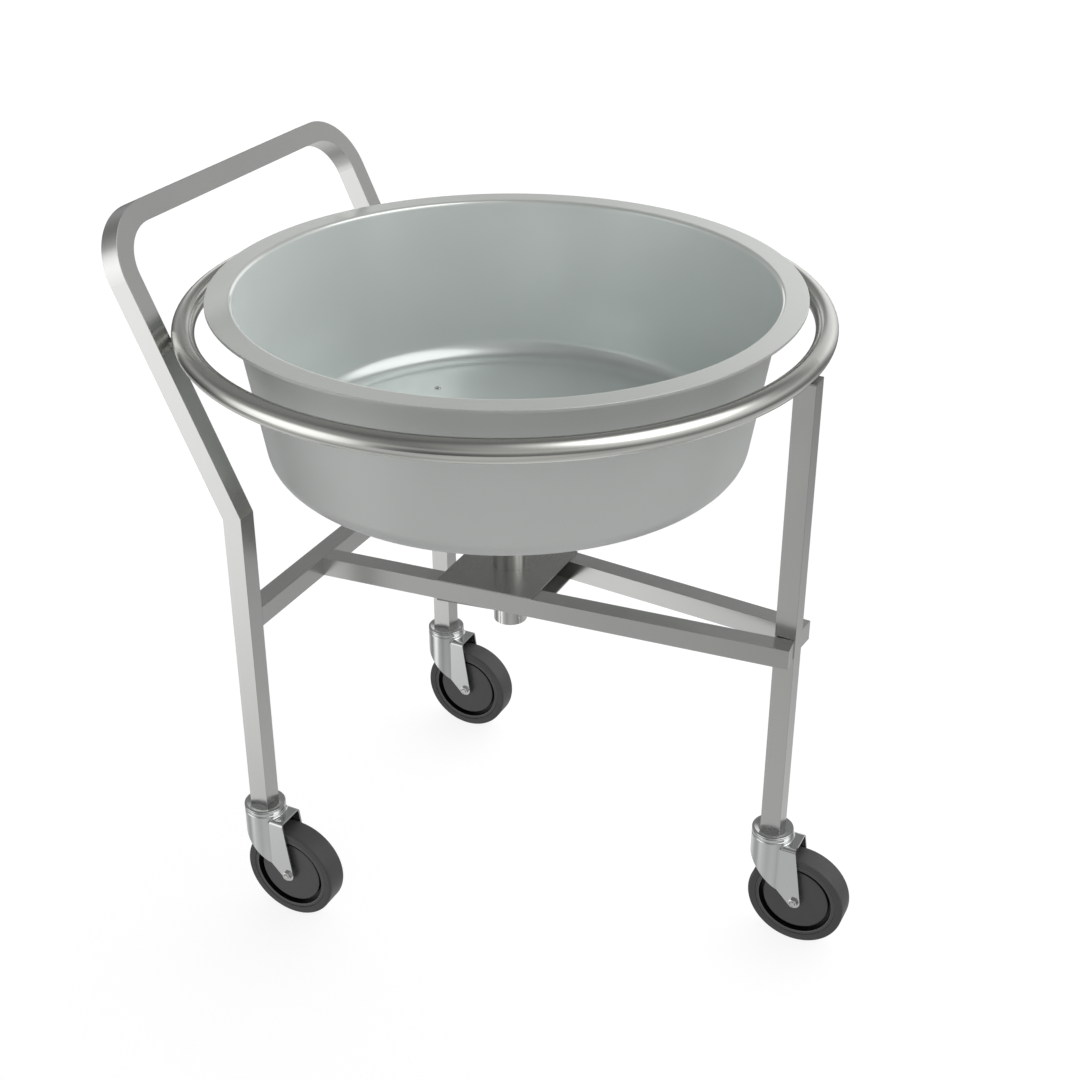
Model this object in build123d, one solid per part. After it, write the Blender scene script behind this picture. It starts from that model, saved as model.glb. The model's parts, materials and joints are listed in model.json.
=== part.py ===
from build123d import *
import os
from math import asin, atan2, cos, degrees, hypot, radians, sin, sqrt, tan

# Three-legged trolley with a revolving bowl, all sizes in millimetres
# Built round the bowl's axis: +X to the front leg, +Y to the pusher's left, +Z up from the floor

# Bowl, one spun sheet with a flat rim
rim_height = 808.0
rim_radius = 345.0
rim_width = 28.0
bowl_depth = 207.0
bowl_taper = 9.0
bowl_corner = 30.0
bowl_sheet = 2.0
mouth_rounding = 3.0
rim_lip = 3.4
rim_edge_rounding = 0.6

# Square tube of legs, rails, crossbar and handle
tube = 25.4
tube_wall = 1.5
tube_rounding = 0.4
cap_thickness = 2.0

# Bumper ring and the lugs that hold it to the handle
ring_tube = 26.0
ring_wall = 1.5
ring_gap = 11.3
ring_drop = 32.65
ring_setback = 2.25
ring_vent = 4.0
lug_length = 3.1
lug_width = 16.0
lug_thickness = 5.0
lug_drop = 11.8

# Frame
leg_spread = 476.0
hub_rise = 162.25
rail_spread = 154.0
mitre_rise = 128.25
handle_lean = 25.0
handle_slope = 357.4
handle_bend = 62.5

# Pivot under the bowl
plate_length = 126.0
plate_thickness = 1.5
lower_plate_thickness = 2.4
lower_plate_narrowing = 6.5
hub_dia = 42.0
hub_wall = 3.0
hub_drop = 51.0
bush_wall = 3.0
bush_length = 25.0
bush_flange = 3.0
lower_bush_recess = 24.0
thrust_washer_width = 14.0
thrust_washer_thickness = 3.0
spindle_flange_dia = 70.0
spindle_flange_thickness = 8.0
spindle_tail = 4.0
keeper_thickness = 1.5
keeper_depth = 1.2
keeper_width = 2.6
keeper_gap = 0.2

# Carrier between the spindle and the bowl
carrier_thickness = 5.0
carrier_centre_radius = 60.0
carrier_arm_width = 36.0
carrier_arm_end = 18.0
carrier_inset = 61.5
carrier_arms = 3
carrier_first_angle = 145.0
screw_dia = 3.5
screw_head_dia = 8.5
screw_head_height = 1.8
screw_clearance = 0.2
screw_nut_flats = 6.0
screw_nut_height = 2.8
screw_end = 1.0

# Caster head
wheel_dia = 125.0
wheel_width = 32.0
trail = 40.0
tread_clearance = 15.0
fork_sheet = 2.5
fork_side_gap = 1.5
fork_bend = 5.0
fork_crown_reach = 36.0
fork_skirt_drop = 27.0
fork_tip_radius = 8.4
head_dia = 52.0
head_rise = 5.5
head_rounding = 2.0
fork_blend = 3.0
race_rise = 5.0
ball_count = 12
ball_circle_radius = 20.0
ball_gap = 0.1
seal_width = 2.5
seal_gap = 0.4
cup_sheet = 2.0
cup_rim = 2.8
cup_dip = 1.6
cup_seat_margin = 0.35
cup_rounding = 0.9

# Bolts of the caster
king_bolt_dia = 12.0
king_bolt_flange_dia = 24.0
king_bolt_flange = 2.5
king_bolt_flats = 18.0
king_bolt_head = 7.0
king_bolt_gap = 0.1
insert_height = 30.0
insert_cover = 3.0
axle_dia = 6.4
axle_flats = 11.1
axle_head = 4.1
axle_nut = 3.6
axle_end = 0.6

# Wheel
tyre_depth = 10.5
tyre_rounding = 3.0
tyre_seam = 0.8
rim_ring = 4.5
rim_rounding = 0.8
wheel_groove = 5.0
wheel_groove_depth = 6.0
disc_recess = 4.0
disc_rounding = 1.0
boss_dia = 18.0
bush_dia = 12.0
hub_side_gap = 0.3

# Fits, as radial gaps
seat_gap = 0.05
running_gap = 0.05

# Heights that follow from the sizes
bowl_bottom = rim_height - bowl_depth
ring_height = rim_height - ring_drop
rail_top = bowl_bottom - hub_rise
rail_middle = rail_top - tube / 2
rail_bottom = rail_top - tube
mitre_height = rail_top + mitre_rise
crown_under = wheel_dia + tread_clearance
crown_top = crown_under + fork_sheet
drum_top = crown_top + head_rise
cup_under = drum_top + race_rise
cup_top = cup_under + cup_sheet
leg_foot = cup_top - cup_dip
leg_top = ring_height - ring_tube / 2 - cap_thickness
axle_height = wheel_dia / 2

# Bowl outline
taper = radians(bowl_taper)
mouth_radius = rim_radius - rim_width
foot_radius = mouth_radius - bowl_depth * tan(taper)
floor_radius = foot_radius - bowl_corner * tan(radians(45.0 - bowl_taper / 2))
screw_radius = floor_radius - carrier_inset

# The ring lies a little behind the bowl's axis, with the front leg under its tube
# The rear legs stand where the sloping handle reaches the ring's lugs
lean = radians(handle_lean)
ring_radius = rim_radius + ring_gap + ring_tube / 2
front_reach = ring_radius - ring_setback
leg_side = leg_spread / 2
lug_end_radius = ring_radius + ring_tube / 2 + lug_length
handle_edge_y = leg_side - tube / 2
handle_edge_x = ring_setback + sqrt(lug_end_radius**2 - handle_edge_y**2)
rear_reach = handle_edge_x + tube / 2 / cos(lean) - (ring_height - mitre_height) * tan(lean)

# The rails start at the crossbar and graze the rounded front corners of the front leg
rail_start_x = -rear_reach + tube / 2
rail_start_y = rail_spread / 2
corner_x = front_reach + tube / 2 - tube_rounding
corner_y = tube / 2 - tube_rounding
corner_run = corner_x - rail_start_x
corner_rise = corner_y - rail_start_y
corner_offset = tube / 2 + tube_rounding
rail_angle = -atan2(corner_rise, corner_run) - asin(corner_offset / hypot(corner_run, corner_rise))
rail_length = (front_reach + tube / 2 - rail_start_x) / cos(rail_angle) - cap_thickness

# The origin lies under the middle of the whole outline
rear_extent = rear_reach + (handle_slope + tube / 2) * sin(lean) + tube / 2 * cos(lean)
front_extent = front_reach + max(trail + wheel_dia / 2, ring_tube / 2)
axis_x = (rear_extent - front_extent) / 2

# Levels of the pivot, from the bowl down
carrier_bottom = bowl_bottom - carrier_thickness
flange_bottom = carrier_bottom - spindle_flange_thickness
washer_bottom = flange_bottom - thrust_washer_thickness
hub_top = washer_bottom - bush_flange
hub_bottom = rail_bottom - hub_drop
hub_bore = hub_dia / 2 - hub_wall
spindle_radius = hub_bore - bush_wall
lower_bush_bottom = hub_bottom + lower_bush_recess
keeper_top = lower_bush_bottom - keeper_gap - keeper_thickness
keeper_bottom = keeper_top - keeper_thickness
spindle_bottom = keeper_bottom - spindle_tail

# Widths in the caster
fork_gap = wheel_width + 2 * fork_side_gap
fork_width = fork_gap + 2 * fork_sheet
drum_radius = head_dia / 2
leg_corner = (tube / 2 - tube_rounding) * sqrt(2) + tube_rounding
cup_floor_radius = leg_corner + cup_seat_margin
cup_rim_radius = drum_radius - cup_rim
cup_slope = atan2(cup_dip, cup_rim_radius - cup_floor_radius)
cup_bend = cup_sheet * tan(cup_slope / 2)
race_height = race_rise - cup_dip + (ball_circle_radius - cup_floor_radius - cup_bend) * tan(cup_slope)
ball_radius = (race_height * cos(cup_slope) - ball_gap) / (1 + cos(cup_slope))
hub_half = fork_gap / 2 - hub_side_gap
core_radius = wheel_dia / 2 - tyre_depth
groove_radius = core_radius - rim_ring
disc_radius = groove_radius - wheel_groove
disc_face = wheel_width / 2 - disc_recess
groove_face = disc_face - wheel_groove_depth

BASE = (Align.CENTER, Align.CENTER, Align.MIN)
REACH = 2 * head_dia


def disc(radius, bottom, top):
    """A solid cylinder on the local Z axis between two heights."""
    return Pos(0, 0, bottom) * Cylinder(radius, top - bottom, align=BASE)


def collar(outer, inner, bottom, top):
    """A flat ring on the local Z axis between two heights."""
    return disc(outer, bottom, top) - disc(inner, bottom - 1, top + 1)


def hexagon(flats, bottom, top):
    """A hexagonal prism on the local Z axis between two heights."""
    outline = RegularPolygon(flats / 2, 6, major_radius=False)
    return Pos(0, 0, bottom) * extrude(outline, top - bottom)


def nearest(shape, point):
    """The vertex of a flat profile that lies nearest to a point."""
    return shape.vertices().sort_by_distance(point)[0]


def tube_outline():
    """The outer outline of the square tube."""
    return RectangleRounded(tube, tube, tube_rounding)


def tube_section():
    """The square tube's section with its bore."""
    bore = tube - 2 * tube_wall
    return tube_outline() - Rectangle(bore, bore)


def mitre_plane():
    """The plane that halves the angle between rear legs and handle."""
    return Plane(origin=(-rear_reach, 0, mitre_height), z_dir=(-sin(lean / 2), 0, cos(lean / 2)))


def handle_plane():
    """The leaning plane of the handle: local X across, local Y up the slope."""
    return Plane(origin=(-rear_reach, 0, mitre_height), x_dir=(0, 1, 0), z_dir=(cos(lean), 0, sin(lean)))


# Frame pieces


def make_front_leg():
    """The front leg, open at the foot and closed by its cap."""
    return Pos(front_reach, 0, leg_foot) * extrude(tube_section(), leg_top - leg_foot)


def make_front_leg_cap():
    """The plate that closes the front leg and carries the ring."""
    return Pos(front_reach, 0, leg_top) * extrude(tube_outline(), cap_thickness)


def make_rear_leg(side):
    """A rear leg with its top cut on the mitre."""
    long_leg = extrude(tube_section(), mitre_height + tube - leg_foot)
    long_leg = Pos(-rear_reach, side * leg_side, leg_foot) * long_leg
    return split(long_leg, bisect_by=mitre_plane(), keep=Keep.BOTTOM)


def sweep_handle(section):
    """A section carried up one slope, round two bends and down the other slope."""
    corners = [(leg_side, -tube), (leg_side, handle_slope), (-leg_side, handle_slope), (-leg_side, -tube)]
    path = handle_plane() * FilletPolyline(*corners, radius=handle_bend)
    start = Plane(origin=path @ 0, x_dir=(0, 1, 0), z_dir=path % 0)
    return sweep(start * section, path)


def make_push_handle():
    """The handle, one bent tube with both ends cut on the mitre."""
    return split(sweep_handle(tube_section()), bisect_by=mitre_plane(), keep=Keep.TOP)


def make_rear_crossbar():
    """The bar between the rear legs."""
    length = leg_spread - tube
    start = Plane(origin=(-rear_reach, -length / 2, rail_middle), x_dir=(0, 0, 1), z_dir=(0, 1, 0))
    return extrude(start * tube_section(), length)


def rail_plane(side, along):
    """The plane across a rail at a distance from its start on the crossbar."""
    x = rail_start_x + along * cos(rail_angle)
    y = rail_start_y - along * sin(rail_angle)
    return Plane(
        origin=(x, side * y, rail_middle),
        x_dir=(0, 0, 1),
        z_dir=(cos(rail_angle), -side * sin(rail_angle), 0),
    )


def make_rail(side):
    """A rail with its rear end cut to the crossbar and its front end square."""
    long_rail = extrude(rail_plane(side, -tube) * tube_section(), rail_length + tube)
    crossbar_face = Plane(origin=(rail_start_x, 0, 0), z_dir=(1, 0, 0))
    return split(long_rail, bisect_by=crossbar_face, keep=Keep.TOP)


def make_rail_caps():
    """The plates that close the front ends of both rails."""
    caps = [extrude(rail_plane(side, rail_length) * tube_outline(), cap_thickness) for side in (1, -1)]
    return Part() + caps


def make_ring():
    """The bumper ring, a hollow round tube with one vent over the front leg."""
    section = Pos(ring_radius, ring_height) * (Circle(ring_tube / 2) - Circle(ring_tube / 2 - ring_wall))
    ring = revolve(Plane.XZ * section, Axis.Z)
    vent = Pos(ring_radius, 0, 0) * disc(ring_vent / 2, ring_height - ring_tube, ring_height)
    return Pos(-ring_setback, 0, 0) * (ring - vent)


def make_ring_lugs():
    """The two small plates between the ring and the sloping handle tubes."""
    ring_core = Pos(-ring_setback, 0, ring_height) * Torus(ring_radius, ring_tube / 2)
    handle_core = sweep_handle(tube_outline())
    angle = degrees(atan2(handle_edge_y, ring_setback - handle_edge_x))
    length = lug_end_radius - ring_radius + lug_thickness
    plate = Box(length, lug_width, lug_thickness, align=(Align.MIN, Align.CENTER, Align.CENTER))
    placed = Pos(ring_radius, 0, ring_height - lug_drop) * plate
    lugs = [Pos(-ring_setback, 0, 0) * Rot(0, 0, side * angle) * placed for side in (1, -1)]
    return Part() + [lug - ring_core - handle_core for lug in lugs]


# Pivot pieces


def plate_edge(x):
    """Half the plate's width at a place along the rails, flush with their outer faces."""
    middle = rail_start_y - (x - rail_start_x) * tan(rail_angle)
    return middle + tube / 2 / cos(rail_angle)


def make_pivot_plate(bottom, thickness, narrowing):
    """A pivot plate with the hub's hole, flush with the rails at the rear and drawn in at the front."""
    half = plate_length / 2
    rear = plate_edge(-half)
    front = plate_edge(half) - narrowing
    outline = Polyline((-half, -rear), (half, -front), (half, front), (-half, rear), close=True)
    plate = make_face(outline) - Circle(hub_dia / 2 + seat_gap)
    return Pos(0, 0, bottom) * extrude(plate, thickness)


def make_upper_plate():
    """The plate on the rails, flush with them all along."""
    return make_pivot_plate(rail_top, plate_thickness, 0)


def make_lower_plate():
    """The thicker plate under the rails, a little narrower at its front."""
    bottom = rail_bottom - lower_plate_thickness
    return make_pivot_plate(bottom, lower_plate_thickness, lower_plate_narrowing)


def make_hub_tube():
    """The hub tube that stands in both plates."""
    return collar(hub_dia / 2, hub_bore, hub_bottom, hub_top)


def make_upper_bush():
    """The flanged bush in the top of the hub."""
    sleeve = disc(hub_bore - seat_gap, hub_top - bush_length, hub_top)
    flange = disc(hub_dia / 2, hub_top, washer_bottom)
    bore = disc(spindle_radius + running_gap, hub_top - bush_length - 1, washer_bottom + 1)
    return sleeve + flange - bore


def make_lower_bush():
    """The plain bush near the bottom of the hub."""
    bore = spindle_radius + running_gap
    return collar(hub_bore - seat_gap, bore, lower_bush_bottom, lower_bush_bottom + bush_length)


def make_thrust_washer():
    """The washer that carries the spindle flange on the upper bush."""
    inner = spindle_radius + running_gap
    return collar(inner + thrust_washer_width, inner, washer_bottom, flange_bottom)


def make_spindle():
    """The spindle with its flange and the groove for the retaining ring."""
    shaft = disc(spindle_radius, spindle_bottom, flange_bottom)
    flange = disc(spindle_flange_dia / 2, flange_bottom, carrier_bottom)
    groove = collar(spindle_radius + 1, spindle_radius - keeper_depth, keeper_bottom, keeper_top)
    return shaft + flange - groove


def make_spindle_washer():
    """The washer under the lower bush."""
    outer = spindle_radius + keeper_width
    return collar(outer, spindle_radius + seat_gap, keeper_top, keeper_top + keeper_thickness)


def make_retaining_ring():
    """The split ring in the spindle's groove."""
    ring = collar(spindle_radius + keeper_width / 2, spindle_radius - keeper_depth, keeper_bottom, keeper_top)
    to_one_side = (Align.MIN, Align.CENTER, Align.CENTER)
    opening = Box(spindle_radius * 2, keeper_width * 2, keeper_thickness * 3, align=to_one_side)
    return ring - Pos(0, 0, keeper_bottom) * opening


# Bowl pieces


def screw_places():
    """The places of the bowl's screws round the axis."""
    step = 360.0 / carrier_arms
    turns = [carrier_first_angle + step * index for index in range(carrier_arms)]
    return [Rot(0, 0, turn) * Pos(screw_radius, 0, 0) for turn in turns]


def screw_holes():
    """Cutters for the screws through the bowl's floor and the carrier."""
    hole = disc(screw_dia / 2 + screw_clearance, carrier_bottom - 1, bowl_bottom + bowl_sheet + 1)
    return Part() + [place * hole for place in screw_places()]


def make_bowl():
    """The bowl, turned from the profile of its sheet."""
    lean_in = bowl_sheet / cos(taper)
    rim_under = rim_height - bowl_sheet
    neck_radius = mouth_radius - bowl_sheet * tan(taper)
    mouth_inside = mouth_radius - lean_in
    foot_inside = foot_radius + bowl_sheet * tan(taper) - lean_in
    corner_out = (foot_radius, bowl_bottom)
    corner_in = (foot_inside, bowl_bottom + bowl_sheet)
    neck = (neck_radius, rim_under)
    mouth = (mouth_inside, rim_height)
    rim_edge = (rim_radius, rim_height)
    lip_inside = rim_radius - bowl_sheet
    lip_under = rim_height - rim_lip
    points = [(0, bowl_bottom), corner_out, neck, (lip_inside, rim_under), (lip_inside, lip_under)]
    points += [(rim_radius, lip_under), rim_edge, mouth, corner_in]
    profile = make_face(Polyline(*points, (0, bowl_bottom + bowl_sheet), close=True))
    profile = fillet(nearest(profile, corner_out), bowl_corner)
    profile = fillet(nearest(profile, corner_in), bowl_corner - bowl_sheet)
    profile = fillet(nearest(profile, neck), mouth_rounding)
    profile = fillet(nearest(profile, mouth), mouth_rounding + bowl_sheet)
    profile = fillet(nearest(profile, rim_edge), rim_edge_rounding)
    return revolve(Plane.XZ * profile, Axis.Z) - screw_holes()


def make_carrier():
    """The three-armed plate under the bowl."""
    outline = Circle(carrier_centre_radius)
    step = 360.0 / carrier_arms
    for index in range(carrier_arms):
        turn = Rot(0, 0, carrier_first_angle + step * index)
        reach = screw_radius + carrier_arm_end - carrier_arm_width / 2
        outline += turn * Pos(reach / 2, 0) * Rectangle(reach, carrier_arm_width)
        outline += turn * Pos(reach, 0) * Circle(carrier_arm_width / 2)
    return Pos(0, 0, carrier_bottom) * extrude(outline, carrier_thickness) - screw_holes()


def make_screws():
    """The low-headed screws on the bowl's floor."""
    seat = bowl_bottom + bowl_sheet
    head = disc(screw_head_dia / 2, seat, seat + screw_head_height)
    head = fillet(head.edges().group_by(Axis.Z)[-1], screw_head_height * 0.7)
    shank = disc(screw_dia / 2, carrier_bottom - screw_nut_height - screw_end, seat)
    screw = head + shank
    return Part() + [place * screw for place in screw_places()]


def make_screw_nuts():
    """The nuts under the carrier's arms."""
    bottom = carrier_bottom - screw_nut_height
    nut = hexagon(screw_nut_flats, bottom, carrier_bottom)
    nut -= disc(screw_dia / 2 + seat_gap, bottom - 1, carrier_bottom + 1)
    return Part() + [place * nut for place in screw_places()]


# Caster pieces, drawn round the swivel axis with the wheel trailing to +X


def make_leg_insert():
    """The threaded block in the foot of a leg."""
    side = tube - 2 * tube_wall - 2 * seat_gap
    block = Pos(0, 0, leg_foot) * Box(side, side, insert_height, align=BASE)
    return block - disc(king_bolt_dia / 2 + seat_gap, leg_foot - 1, leg_foot + insert_height - insert_cover)


def make_cup():
    """The dished sheet that the leg stands in, sloping from its rim down to a flat seat."""
    hole = king_bolt_dia / 2 + seat_gap
    seat_under = leg_foot - cup_sheet
    edge_low = (drum_radius, cup_under)
    edge_high = (drum_radius, cup_top)
    brow = (cup_rim_radius, cup_top)
    points = [(hole, seat_under), (cup_floor_radius + cup_bend, seat_under)]
    points += [(cup_rim_radius + cup_bend, cup_under), edge_low, edge_high, brow]
    points += [(cup_floor_radius, leg_foot), (hole, leg_foot)]
    profile = make_face(Polyline(*points, close=True))
    for corner in (edge_low, edge_high, brow):
        profile = fillet(nearest(profile, corner), cup_rounding)
    return revolve(Plane.XZ * profile, Axis.Z)


def make_king_bolt():
    """The flanged bolt that holds the fork up to the leg."""
    flange_top = drum_top - fork_sheet - king_bolt_gap
    flange_base = flange_top - king_bolt_flange
    shank = disc(king_bolt_dia / 2, flange_top, leg_foot + insert_height - 2 * insert_cover)
    flange = disc(king_bolt_flange_dia / 2, flange_base, flange_top)
    head = hexagon(king_bolt_flats, flange_base - king_bolt_head, flange_base)
    return shank + flange + head


def make_seal_ring():
    """The ring round the balls, on top of the fork."""
    top = cup_under - seal_gap
    ring = collar(drum_radius, drum_radius - seal_width, drum_top, top)
    outer_edges = ring.edges().filter_by(GeomType.CIRCLE).group_by(SortBy.RADIUS)[-1]
    return fillet(outer_edges, cup_rounding)


def make_balls():
    """The balls between the fork and the cup."""
    ball = Pos(ball_circle_radius, 0, drum_top + ball_radius) * Sphere(ball_radius)
    return Part() + [Rot(0, 0, 360.0 * index / ball_count) * ball for index in range(ball_count)]


def fork_side():
    """A prism across the fork with its side outline: drum, sloping skirt, round tip, raked back."""
    front = -drum_radius - 1
    top = drum_top + 1
    back = Line((fork_crown_reach, crown_top), (fork_crown_reach, top))
    skirt = Line((front, top), (front, drum_top - fork_skirt_drop))
    tip = Pos(trail, axle_height) * Circle(fork_tip_radius)
    outline = make_hull(tip.edges() + back.edges() + skirt.edges())
    return extrude(Plane.XZ * outline, REACH, both=True)


def fork_saddle(width, top, length, bend):
    """A block for the crown and both arms, its long top edges rounded."""
    low = axle_height - 2 * fork_tip_radius
    block = Pos(0, 0, low) * Box(length, width, top - low, align=(Align.MIN, Align.CENTER, Align.MIN))
    long_edges = block.edges().filter_by(Axis.X).group_by(Axis.Z)[-1]
    return fillet(long_edges, bend)


def on_drum_crease(edge):
    """Whether an edge runs where the crown and the arms leave the drum."""
    middle = edge @ 0.5
    on_drum = abs(hypot(middle.X, middle.Y) - drum_radius) < seat_gap
    return on_drum and middle.X > 0 and middle.Z < crown_top + seat_gap


def make_fork():
    """The pressed fork: a round drum that blends into a flat crown and two flat arms."""
    low = axle_height - 2 * fork_tip_radius
    drum = disc(drum_radius, low, drum_top)
    drum = fillet(drum.edges().group_by(Axis.Z)[-1], head_rounding)
    outside = drum + fork_saddle(fork_width, crown_top, REACH, fork_bend)
    free_rise = head_rise - head_rounding - seat_gap
    outside = fillet(outside.edges().filter_by(on_drum_crease), min(fork_blend, free_rise))
    inside = disc(drum_radius - fork_sheet, low - 1, drum_top - fork_sheet)
    inside += fork_saddle(fork_gap, crown_under, 2 * REACH, fork_bend - fork_sheet)
    swivel_hole = disc(king_bolt_dia / 2 + running_gap, drum_top - 2 * fork_sheet, drum_top + 1)
    axle_hole = Pos(trail, 0, axle_height) * Rot(90, 0, 0) * Cylinder(axle_dia / 2 + seat_gap, REACH)
    return (outside & fork_side()) - inside - swivel_hole - axle_hole


def on_axle(shape):
    """A piece drawn on local Z, turned onto the axle with local +Z to the pusher's right."""
    return Pos(trail, 0, axle_height) * Rot(90, 0, 0) * shape


def make_axle_bolt():
    """The axle bolt, head on the left arm."""
    half = fork_width / 2
    head = hexagon(axle_flats, -half - axle_head, -half)
    shank = disc(axle_dia / 2, -half, half + axle_nut + axle_end)
    return on_axle(head + shank)


def make_axle_nut():
    """The low nut on the right arm."""
    half = fork_width / 2
    nut = hexagon(axle_flats, half, half + axle_nut)
    return on_axle(nut - disc(axle_dia / 2 + seat_gap, half - 1, half + axle_nut + 1))


def make_wheel_bush():
    """The bearing sleeve that turns on the axle bolt."""
    return on_axle(collar(bush_dia / 2, axle_dia / 2 + running_gap, -hub_half, hub_half))


def make_wheel_core():
    """The wheel's core: boss, flat disc, deep groove and rim, the same on both sides."""
    rim_face = wheel_width / 2 - tyre_seam
    bore = bush_dia / 2 + seat_gap
    half = [
        (bore, hub_half),
        (boss_dia / 2, hub_half),
        (boss_dia / 2, disc_face),
        (disc_radius, disc_face),
        (disc_radius, groove_face),
        (groove_radius, groove_face),
        (groove_radius, rim_face),
        (core_radius, rim_face),
    ]
    other_half = [(radius, -height) for radius, height in reversed(half)]
    profile = make_face(Polyline(*half, *other_half, close=True))
    for height in (disc_face, -disc_face):
        profile = fillet(nearest(profile, (disc_radius, height)), disc_rounding)
    for height in (rim_face, -rim_face):
        profile = fillet(nearest(profile, (groove_radius, height)), rim_rounding)
        profile = fillet(nearest(profile, (core_radius, height)), rim_rounding)
    return on_axle(revolve(Plane.XZ * profile, Axis.Z))


def make_tyre():
    """The tyre, rounded at the tread's edges and bevelled at the seam with the core."""
    half = wheel_width / 2
    inner = core_radius + seat_gap
    outer = wheel_dia / 2
    profile = Pos((inner + outer) / 2, 0) * Rectangle(outer - inner, wheel_width)
    for side in (half, -half):
        profile = fillet(nearest(profile, (outer, side)), tyre_rounding)
        profile = chamfer(nearest(profile, (inner, side)), tyre_seam)
    return on_axle(revolve(Plane.XZ * profile, Axis.Z))


# All nodes

nodes = {
    "front_leg": make_front_leg(),
    "front_leg_cap": make_front_leg_cap(),
    "rear_leg_left": make_rear_leg(1),
    "rear_leg_right": make_rear_leg(-1),
    "push_handle": make_push_handle(),
    "rear_crossbar": make_rear_crossbar(),
    "rail_left": make_rail(1),
    "rail_right": make_rail(-1),
    "rail_caps": make_rail_caps(),
    "bumper_ring": make_ring(),
    "ring_lugs": make_ring_lugs(),
    "upper_pivot_plate": make_upper_plate(),
    "lower_pivot_plate": make_lower_plate(),
    "hub_tube": make_hub_tube(),
    "upper_hub_bush": make_upper_bush(),
    "lower_hub_bush": make_lower_bush(),
    "thrust_washer": make_thrust_washer(),
    "bowl": make_bowl(),
    "bowl_carrier": make_carrier(),
    "bowl_screws": make_screws(),
    "bowl_nuts": make_screw_nuts(),
    "spindle": make_spindle(),
    "spindle_washer": make_spindle_washer(),
    "retaining_ring": make_retaining_ring(),
}

caster_pieces = {
    "leg_insert": make_leg_insert(),
    "caster_cup": make_cup(),
    "king_bolt": make_king_bolt(),
    "seal_ring": make_seal_ring(),
    "race_balls": make_balls(),
    "fork": make_fork(),
    "axle_bolt": make_axle_bolt(),
    "axle_nut": make_axle_nut(),
    "wheel_bush": make_wheel_bush(),
    "wheel_core": make_wheel_core(),
    "tyre": make_tyre(),
}

leg_places = {
    "front": (front_reach, 0),
    "left": (-rear_reach, leg_side),
    "right": (-rear_reach, -leg_side),
}

for place_name, (leg_x, leg_y) in leg_places.items():
    for piece_name, piece in caster_pieces.items():
        nodes[piece_name + "_" + place_name] = Pos(leg_x, leg_y, 0) * piece

os.makedirs("parts", exist_ok=True)
for node_name, node_shape in nodes.items():
    export_step(Pos(axis_x, 0, 0) * node_shape, "parts/" + node_name + ".step")
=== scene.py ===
"""Looks of a three-legged bowl trolley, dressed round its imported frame, in metres."""

import json
import logging
import math
from dataclasses import dataclass
from enum import Enum

import bpy
import numpy as np
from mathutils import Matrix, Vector


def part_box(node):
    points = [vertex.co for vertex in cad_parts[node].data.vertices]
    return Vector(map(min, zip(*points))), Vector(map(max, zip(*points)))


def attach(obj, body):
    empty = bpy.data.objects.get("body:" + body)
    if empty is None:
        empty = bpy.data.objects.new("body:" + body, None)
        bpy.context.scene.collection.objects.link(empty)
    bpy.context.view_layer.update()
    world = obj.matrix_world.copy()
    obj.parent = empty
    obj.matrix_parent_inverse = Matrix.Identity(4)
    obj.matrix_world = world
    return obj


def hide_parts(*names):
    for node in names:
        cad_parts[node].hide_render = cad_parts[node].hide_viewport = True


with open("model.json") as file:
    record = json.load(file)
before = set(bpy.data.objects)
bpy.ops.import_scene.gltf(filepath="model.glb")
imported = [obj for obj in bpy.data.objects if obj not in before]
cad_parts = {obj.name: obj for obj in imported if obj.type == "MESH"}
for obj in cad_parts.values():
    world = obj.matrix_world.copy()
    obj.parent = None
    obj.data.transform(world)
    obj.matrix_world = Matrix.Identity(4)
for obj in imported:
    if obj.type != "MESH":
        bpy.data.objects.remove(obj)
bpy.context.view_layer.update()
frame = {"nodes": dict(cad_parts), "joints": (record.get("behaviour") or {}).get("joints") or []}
LOG = logging.getLogger("bowl_trolley")

Socket = bpy.types.NodeSocket
Input = float | tuple | Socket
Colour = tuple[float, float, float]
Levels = tuple[tuple[float, float], ...]
CASTER_PLACES = ("front", "left", "right")

# The range that a noise pattern mostly fills
NOISE_RANGE = (0.3, 0.7)
# The places of a Mix node's two colours among its inputs, and of the result among its outputs
MIX_FIRST, MIX_SECOND, MIX_COLOUR = 6, 7, 2
# Faces that meet at a wider angle than this keep a sharp edge
SHARP_ANGLE = math.radians(25.0)


def joint_place(name: str) -> Vector:
    """Finds where a joint's axis stands.

    Args:
        name: the joint's name in the frame.

    Returns:
        A point on the joint's axis.
    """
    joint = next(entry for entry in frame["joints"] if entry["name"] == name)
    return Vector(joint["pos_m"])


def heading(azimuth: float, elevation: float) -> Vector:
    """Turns two angles into a direction.

    Args:
        azimuth: degrees from -Y towards +X.
        elevation: degrees above the horizon.

    Returns:
        The unit vector (sin a cos e, -cos a cos e, sin e).
    """
    turn = math.radians(azimuth)
    rise = math.radians(elevation)
    flat = math.cos(rise)
    return Vector((math.sin(turn) * flat, -math.cos(turn) * flat, math.sin(rise)))


BOWL_AXIS = joint_place("bowl_spin")


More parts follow.
